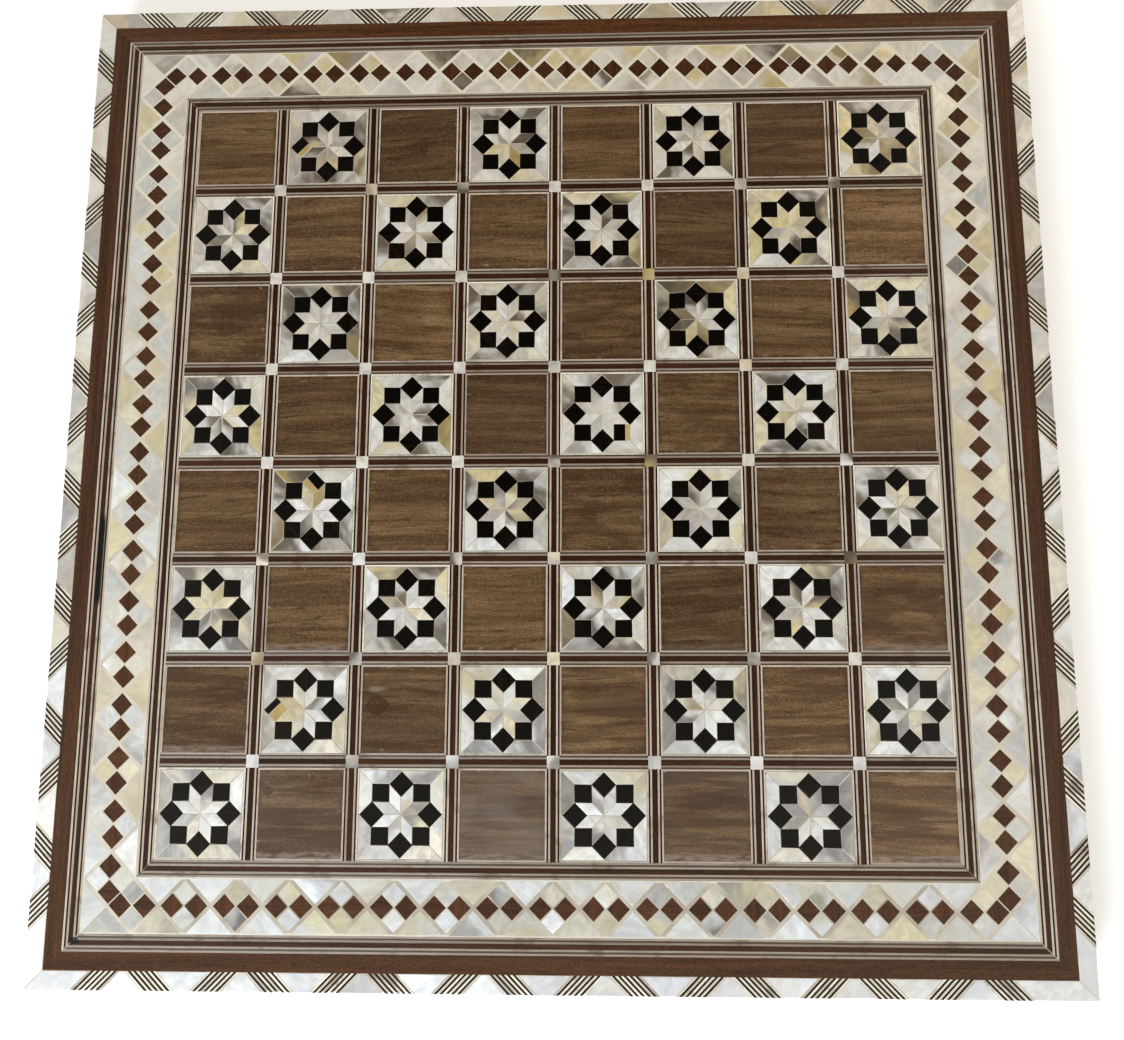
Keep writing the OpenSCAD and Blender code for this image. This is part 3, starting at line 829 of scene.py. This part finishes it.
def piece_places():
    """Geometry nodes that weld a node's solids, give each its middle and its long axis, and weigh
    its edges for rounding."""
    known = bpy.data.node_groups.get("piece_places")
    if known:
        return known
    group = bpy.data.node_groups.new("piece_places", "GeometryNodeTree")
    for name, way in (("Geometry", "INPUT"), ("Share", "INPUT"), ("Geometry", "OUTPUT")):
        kind = "NodeSocketFloat" if name == "Share" else "NodeSocketGeometry"
        group.interface.new_socket(name, in_out=way, socket_type=kind)
    g = NodeTree(group)
    source = g.node("NodeGroupInput")
    weld = g.node("GeometryNodeMergeByDistance", Geometry=source.outputs["Geometry"], Distance=WELD)
    island = g.node("GeometryNodeInputMeshIsland").outputs["Island Index"]
    position = g.node("GeometryNodeInputPosition").outputs[0]

    def total(value, kind="FLOAT"):
        """The sum of a value over a solid's corners."""
        made = g.node(
            "GeometryNodeAccumulateField", data_type=kind, domain="POINT", Value=value, Group_ID=island
        )
        return made.outputs["Total"]

    def stored(geometry, name, value, kind="FLOAT", domain="POINT"):
        made = g.node(
            "GeometryNodeStoreNamedAttribute",
            data_type=kind,
            domain=domain,
            Geometry=geometry,
            Name=name,
            Value=value,
        )
        return made.outputs["Geometry"]

    count = total(1.0)
    middle = g.vector("DIVIDE", total(position, "FLOAT_VECTOR"), g.joined(count, count, count))
    placed = stored(weld.outputs["Geometry"], MIDDLE, middle, "FLOAT_VECTOR")

    known_middle = g.node("GeometryNodeInputNamedAttribute", data_type="FLOAT_VECTOR", Name=MIDDLE)
    x, y, _ = g.parts(g.vector("SUBTRACT", position, known_middle.outputs["Attribute"]))
    difference = total(g.minus(g.times(x, x), g.times(y, y)))
    product = total(g.times(x, y))
    turn = g.times(g.maths("ARCTAN2", g.times(product, 2.0), difference), 0.5)
    turned = stored(placed, TURN, turn)

    x, y, high = g.parts(position)
    at_side = g.maths("GREATER_THAN", g.most(g.size(x), g.size(y)), CAD_BOX[1].x - TOUCH)
    at_top = g.maths("GREATER_THAN", high, CAD_BOX[1].z - TOUCH)
    at_bottom = g.maths("LESS_THAN", high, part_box("edge_rail_front")[0].z + TOUCH)
    outer = g.times(at_side, g.plus(at_top, at_bottom))
    angle = g.node("GeometryNodeInputMeshEdgeAngle").outputs[0]
    sharp = g.maths("GREATER_THAN", angle, SHARP)
    weight = g.times(sharp, g.most(outer, source.outputs["Share"]))
    weighed = stored(turned, "bevel_weight_edge", weight, domain="EDGE")
    flat = g.node("GeometryNodeSetShadeSmooth", domain="FACE", Geometry=weighed, Shade_Smooth=False)
    plain = g.node("GeometryNodeRemoveAttribute", Geometry=flat.outputs["Geometry"], Name="custom_normal")
    g.node("NodeGroupOutput", plain.outputs["Geometry"])
    return group


def mesh_of(form, name):
    """The mesh of a form that isn't needed any more."""
    mesh = bpy.data.meshes.new(name)
    form.to_mesh(mesh)
    form.free()
    return mesh


def linked(name, data):
    """A new object in the scene."""
    made = bpy.data.objects.new(name, data)
    bpy.context.scene.collection.objects.link(made)
    return made


def new_piece(name, mesh, finish):
    """A piece that the scene adds: it lies in the board's frame and rides on the board."""
    mesh.validate()
    mesh.materials.append(finish.material)
    piece = linked(name, mesh)
    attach(piece, BODY)
    return piece


def rectangle(x, y, wide, long):
    """The corners of a rectangle round a middle."""
    return [Vector((x + a * wide / 2, y + b * long / 2)) for a, b in ((-1, -1), (1, -1), (1, 1), (-1, 1))]


def top_outlines(name):
    """The outline of the top of each solid of a node, as its corners in turn."""
    form = bmesh.new()
    form.from_mesh(NODES[name].data)
    bmesh.ops.remove_doubles(form, verts=form.verts, dist=WELD)
    others = [face for face in form.faces if face.normal.z < UPWARDS]
    bmesh.ops.delete(form, geom=others, context="FACES")
    bmesh.ops.dissolve_limit(form, angle_limit=math.radians(1), verts=form.verts, edges=form.edges)
    outlines = [[corner.co.xy for corner in face.verts] for face in form.faces]
    form.free()
    return outlines


def spread(outline, distance):
    """An outline whose sides are moved outwards by about a distance."""
    middle = sum(outline, Vector((0, 0))) / len(outline)
    return [corner + (corner - middle).normalized() * distance * math.sqrt(2) for corner in outline]


def settings_of(context):
    return context.scene.chessboard


class FinishOperator:
    """What the operators share: each one's make does its work."""

    bl_options = {"REGISTER", "UNDO"}

    def execute(self, context):
        self.make(settings_of(context))
        return {"FINISHED"}


class CHESSBOARD_OT_core(FinishOperator, bpy.types.Operator):
    """Finish the core panel and the glue bed on it"""

    bl_idname = "chessboard.core"
    bl_label = "Core and glue bed"

    def make(self, settings):
        bare_wood(settings).dress("core_panel")
        glue = filler("bed_glue", settings, settings.joint.glue, settings.joint.bed_stain)
        glue.dress("glue_bed")


class CHESSBOARD_OT_rails(FinishOperator, bpy.types.Operator):
    """Finish the four mitred edge rails"""

    bl_idname = "chessboard.rails"
    bl_label = "Edge rails"

    def make(self, settings):
        rail = brown_wood("rail_wood", settings, settings.wood.rail, settings.wood.rail_dark, crisp=0.5)
        rail.dress(*(f"edge_rail_{side}" for side in ("front", "back", "left", "right")))


class CHESSBOARD_OT_walnut(FinishOperator, bpy.types.Operator):
    """Finish the plain walnut squares"""

    bl_idname = "chessboard.walnut"
    bl_label = "Walnut squares"

    def make(self, settings):
        walnut(settings).dress("walnut_squares")


class CHESSBOARD_OT_stars(FinishOperator, bpy.types.Operator):
    """Finish the pearl and ebony of the star squares"""

    bl_idname = "chessboard.stars"
    bl_label = "Star squares"

    def make(self, settings):
        rhombs = pearl("star_pearl", settings, tint=(0.98, 0.98, 0.98), dusk=0.15, kinship=0.35)
        rhombs.dress("star_rhombs")
        corners = pearl(
            "corner_pearl", settings, tint=(1.0, 1.015, 1.035), reach=6.0, dusk=0.26, kinship=0.2
        )
        corners.dress("star_corner_pearls")
        slips = pearl("mending_pearl", settings, tint=(0.94, 0.9, 0.76), gold=0.95)
        slips.dress("star_mending_pearls")
        black = ebony("star_ebony", settings, settings.wood.ebony)
        black.dress("star_black_diamonds", "star_black_squares")


class CHESSBOARD_OT_lanes(FinishOperator, bpy.types.Operator):
    """Finish the lanes between the squares, the stringing, and the white line round each square"""

    bl_idname = "chessboard.lanes"
    bl_label = "Lanes"

    def make(self, settings):
        woods, joints = settings.wood, settings.joint
        strip = brown_wood("strip_wood", settings, woods.strip, woods.strip_dark, upright=0.74)
        strip.dress("lane_brown_strips", "inner_string_brown", "outer_string_brown")
        ply = pale_ply("pale_ply", settings, woods.ply, woods.ply_dark, worn=0.4)
        ply.dress("lane_white_plies", "inner_string_white", "outer_string_white")
        white_line(settings).dress("square_frames")
        black = ebony("black_ply", settings, woods.black_ply, worn=0.9)
        black.dress("lane_black_plies", "inner_string_black", "outer_string_black")
        paste = filler(
            "mitre_paste", settings, joints.mitre_paste, joints.paste_dark, inner=joints.inner_mitre
        )
        paste.dress("string_mitre_paste")


class CHESSBOARD_OT_crossings(FinishOperator, bpy.types.Operator):
    """Finish the small pearls where two lanes cross"""

    bl_idname = "chessboard.crossings"
    bl_label = "Crossings"

    def make(self, settings):
        pearl("crossing_pearl", settings, dusk=0.25).dress("crossing_pearls")


class CHESSBOARD_OT_border(FinishOperator, bpy.types.Operator):
    """Finish the diamond chain, its pearls and the paste round them"""

    bl_idname = "chessboard.border"
    bl_label = "Diamond border"

    def make(self, settings):
        woods, joints = settings.wood, settings.joint
        # The border's pearls are painted darker at the near side, as painted shade
        shell = pearl(
            "border_pearl",
            settings,
            tint=(0.97, 0.97, 0.97),
            near_painted_shade=(0.87, 0.9, 0.925),
            reach=4.5,
            dusk=0.03,
            clouds=0.6,
            motley=0.7,
        )
        shell.dress("chain_pearl_squares")
        shell.dress("border_outer_pearls", "border_inner_pearls", "border_corner_pearls")
        # The chain's squares get painted shade at the far side
        brown = brown_wood("chain_wood", settings, woods.chain, woods.rail_dark, crisp=0.5, far_painted_shade=0.82)
        brown.dress("chain_brown_squares")
        paste = filler("paste", settings, joints.paste, joints.paste_dark, pale=joints.paste_pale)
        paste.dress("border_paste")


class CHESSBOARD_OT_band(FinishOperator, bpy.types.Operator):
    """Finish the zigzag band along the edge"""

    bl_idname = "chessboard.band"
    bl_label = "Zigzag band"

    def make(self, settings):
        woods = settings.wood
        # The band's pearls get strong painted light at the near edge and at the sides
        shell = pearl("band_pearl", settings, reach=4.5, clouds=0.6, painted_light_share=(0.65, 0.4))
        shell.dress("band_small_pearls", "band_large_pearls", "band_corner_pearls")
        pale_ply("band_ply", settings, woods.line, woods.ply_dark).dress("band_white_plies")
        ebony("band_ebony", settings, woods.black_ply).dress("band_black_plies")


class CHESSBOARD_OT_glue(FinishOperator, bpy.types.Operator):
    """Fill the narrow joints of the stars and the band with glue, dark round the black pieces"""

    bl_idname = "chessboard.glue"
    bl_label = "Glue joints"

    def make(self, settings):
        work, joints = settings.work, settings.joint
        pale = filler("joint_glue", settings, joints.glue, joints.glue_stain)
        plates = self.band_plates(work) + self.star_plates(work)
        self.lay("joint_glue", plates, work.glue_depth, work.glue_sheet, pale)
        dark = filler("dark_glue", settings, joints.dark_glue, joints.dark_stain)
        plates = [
            spread(outline, work.dark_joint)
            for name in ("star_black_diamonds", "star_black_squares")
            for outline in top_outlines(name)
        ]
        self.lay("dark_glue", plates, work.glue_depth - work.glue_sheet / 2, work.glue_sheet, dark)

    def band_plates(self, work):
        """A plate in the joints of each side of the zigzag band."""
        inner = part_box("band_corner_pearls")[1].x - work.band
        outer = CAD_BOX[1].x - work.outer_round
        middle = (inner + outer) / 2
        wide = outer - inner
        short = 2 * inner - work.glue_sheet
        return [
            rectangle(0, -middle, 2 * outer, wide),
            rectangle(0, middle, 2 * outer, wide),
            rectangle(-middle, 0, wide, short),
            rectangle(middle, 0, wide, short),
        ]

    def star_plates(self, work):
        """A plate in the joints of each star square."""
        tile = 2 * (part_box("star_corner_pearls")[1].x - LAST_SQUARE * work.pitch)
        return [
            rectangle((i - LAST_SQUARE) * work.pitch, (j - LAST_SQUARE) * work.pitch, tile, tile)
            for i in range(SQUARES)
            for j in range(SQUARES)
            if (i + j) % 2 == 0
        ]

    def lay(self, name, outlines, depth, sheet, finish):
        """Thin plates with the given outlines, whose tops lie at one depth."""
        form = bmesh.new()
        high = CAD_BOX[1].z - depth
        for outline in outlines:
            over = [form.verts.new((*corner, high)) for corner in outline]
            under = [form.verts.new((*corner, high - sheet)) for corner in outline]
            form.faces.new(over)
            form.faces.new(reversed(under))
            for a in range(len(outline)):
                b = (a + 1) % len(outline)
                form.faces.new((over[b], over[a], under[a], under[b]))
        bmesh.ops.recalc_face_normals(form, faces=form.faces)
        new_piece(name, mesh_of(form, name), finish)


class CHESSBOARD_OT_felt(FinishOperator, bpy.types.Operator):
    """Lay the felt on the underside"""

    bl_idname = "chessboard.felt"
    bl_label = "Felt lining"

    def make(self, settings):
        work = settings.work
        rim_lift = 1.6
        low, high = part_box("base_lining")
        dice = random.Random(4)
        cells = work.felt_cells
        size = high - low
        form = bmesh.new()
        under, over = [], []
        for i in range(cells + 1):
            for j in range(cells + 1):
                rim = i in (0, cells) or j in (0, cells)
                back = dice.random() * work.felt_fuzz * 2 if rim else 0
                x = low.x + size.x * i / cells
                y = low.y + size.y * j / cells
                x += back if i == 0 else -back if i == cells else 0
                y += back if j == 0 else -back if j == cells else 0
                lift = work.felt_fuzz * (rim_lift if rim else dice.random())
                under.append(form.verts.new((x, y, low.z + lift)))
                over.append(form.verts.new((x, y, high.z)))
        row = cells + 1
        for i in range(cells):
            for j in range(cells):
                a, b, c, d = i * row + j, (i + 1) * row + j, (i + 1) * row + j + 1, i * row + j + 1
                form.faces.new([under[k] for k in (a, d, c, b)])
                form.faces.new([over[k] for k in (a, b, c, d)])
        edge = (
            [i * row for i in range(cells)]
            + [cells * row + j for j in range(cells)]
            + [i * row + cells for i in range(cells, 0, -1)]
            + list(range(cells, 0, -1))
        )
        for a, b in zip(edge, edge[1:] + edge[:1]):
            form.faces.new((under[a], under[b], over[b], over[a]))
        bmesh.ops.recalc_face_normals(form, faces=form.faces)
        mesh = mesh_of(form, "felt_lining")
        mesh.shade_smooth()
        felt = new_piece("felt_lining", mesh, felt_cloth(settings))
        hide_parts("base_lining")


class CHESSBOARD_OT_stage(FinishOperator, bpy.types.Operator):
    """Set up the camera, the floor and the lamps"""

    bl_idname = "chessboard.stage"
    bl_label = "Stage"

    def make(self, settings):
        stage = settings.stage
        self.camera(stage)
        floor = self.floor(stage)
        self.lamp("near_lamp", stage.key, size=0.5, at=(-0.4, -0.95, 0.6), colour=(0.8, 0.9, 1.0))
        self.lamp("far_lamp", stage.fill, size=0.7, at=(1.3, 1.3, 0.8), colour=(1.0, 0.82, 0.52))
        self.world(stage)
        bpy.context.scene.view_settings.view_transform = "Standard"

    def camera(self, stage):
        lens = bpy.data.cameras.new("camera")
        lens.lens = stage.lens
        lens.sensor_width = 36
        lens.sensor_fit = "HORIZONTAL"
        lens.shift_x, lens.shift_y = stage.shift
        lens.clip_start = 0.01
        back = -Vector(stage.camera_view).normalized()
        up = back.cross(Vector(stage.camera_right)).normalized()
        turn = Matrix((up.cross(back), up, back)).transposed().to_4x4()
        camera = linked("camera", lens)
        camera.matrix_world = Matrix.Translation(stage.camera_at) @ turn
        bpy.context.scene.camera = camera

    def floor(self, stage):
        form = bmesh.new()
        bmesh.ops.create_circle(form, cap_ends=True, segments=64, radius=stage.floor_reach)
        mesh = mesh_of(form, "floor")
        mesh.materials.append(self.floor_paint(stage))
        return linked("floor", mesh)

    def floor_paint(self, stage):
        """Plain pale paint, which the camera sees as white where no shadow falls on it, and as pure
        white far from the board, where no lamp reaches."""
        material = bpy.data.materials.new("floor_paint")
        material.use_nodes = True
        f = NodeTree(material.node_tree)
        by_camera = f.node("LightPath").outputs["Is Camera Ray"]
        paint = f.node("BsdfDiffuse", stage.floor)
        glow = f.node("Emission", Strength=f.times(by_camera, 0.5))
        pale = f.node("AddShader", paint.outputs[0], glow.outputs[0])
        white = f.node("Emission")
        away = f.vector("LENGTH", f.node("TexCoord").outputs["Object"])
        distant = f.between(away, 2.5 * CAD_BOX[1].x, 6 * CAD_BOX[1].x)
        seen = f.node("MixShader", f.times(distant, by_camera), pale.outputs[0], white.outputs[0])
        f.node("OutputMaterial", seen.outputs[0])
        return material

    def lamp(self, name, power, size, at, colour):
        """A square lamp that shines at the middle of the board."""
        light = bpy.data.lights.new(name, "AREA")
        light.energy = power
        light.shape = "SQUARE"
        light.size = size
        light.color = colour
        lamp = linked(name, light)
        lamp.location = at
        lamp.visible_camera = False
        lamp.rotation_euler = (-Vector(at)).to_track_quat("-Z", "Y").to_euler()

    def world(self, stage):
        """Soft light from all round, with a dark card above that keeps its glare off the lacquer."""
        world = bpy.data.worlds.new("studio")
        bpy.context.scene.world = world
        world.use_nodes = True
        f = NodeTree(world.node_tree)
        towards = f.node("TexCoord").outputs["Generated"]
        away = f.vector("SUBTRACT", towards, (*stage.card, 0.0))
        distance = f.vector("LENGTH", f.vector("MULTIPLY", away, (1.0, 0.9, 0.0)))
        below = f.maths("LESS_THAN", f.parts(towards)[2], 0.0)
        strength = f.between(f.plus(distance, below), *stage.card_edge, 0.01, stage.world)
        soft = f.node("Background", (1.0, 0.94, 0.8), strength)
        white = f.node("Background", (1.0, 1.0, 1.0))
        by_camera = f.node("LightPath").outputs["Is Camera Ray"]
        seen = f.node("MixShader", by_camera, soft.outputs[0], white.outputs[0])
        f.node("OutputWorld", seen.outputs[0])


OPERATORS = (
    CHESSBOARD_OT_stage,
    CHESSBOARD_OT_core,
    CHESSBOARD_OT_felt,
    CHESSBOARD_OT_rails,
    CHESSBOARD_OT_walnut,
    CHESSBOARD_OT_stars,
    CHESSBOARD_OT_lanes,
    CHESSBOARD_OT_crossings,
    CHESSBOARD_OT_border,
    CHESSBOARD_OT_band,
    CHESSBOARD_OT_glue,
)


class CHESSBOARD_PT_panel(bpy.types.Panel):
    """Operators and settings of the chessboard"""

    bl_idname = "CHESSBOARD_PT_panel"
    bl_label = "Inlaid chessboard"
    bl_space_type = "VIEW_3D"
    bl_region_type = "UI"
    bl_category = "Chessboard"

    def draw(self, context):
        layout = self.layout
        for operator in OPERATORS:
            layout.operator(operator.bl_idname)
        settings = settings_of(context)
        for title, group in (
            ("Pearl", settings.pearl),
            ("Wood", settings.wood),
            ("Joints", settings.joint),
            ("Workmanship", settings.work),
            ("Stage", settings.stage),
        ):
            box = layout.box()
            box.label(text=title)
            for name in group.bl_rna.properties.keys():
                if name not in ("rna_type", "name"):
                    box.prop(group, name)


CLASSES = (
    PearlTones,
    WoodTones,
    JointTones,
    Workmanship,
    StageSettings,
    ChessboardSettings,
    *OPERATORS,
    CHESSBOARD_PT_panel,
)


def register():
    for item in CLASSES:
        bpy.utils.register_class(item)
    bpy.types.Scene.chessboard = PointerProperty(type=ChessboardSettings)


def unregister():
    del bpy.types.Scene.chessboard
    for item in reversed(CLASSES):
        bpy.utils.unregister_class(item)


def main():
    register()
    for operator in OPERATORS:
        family, name = operator.bl_idname.split(".")
        getattr(getattr(bpy.ops, family), name)()


if __name__ == "__main__":
    main()
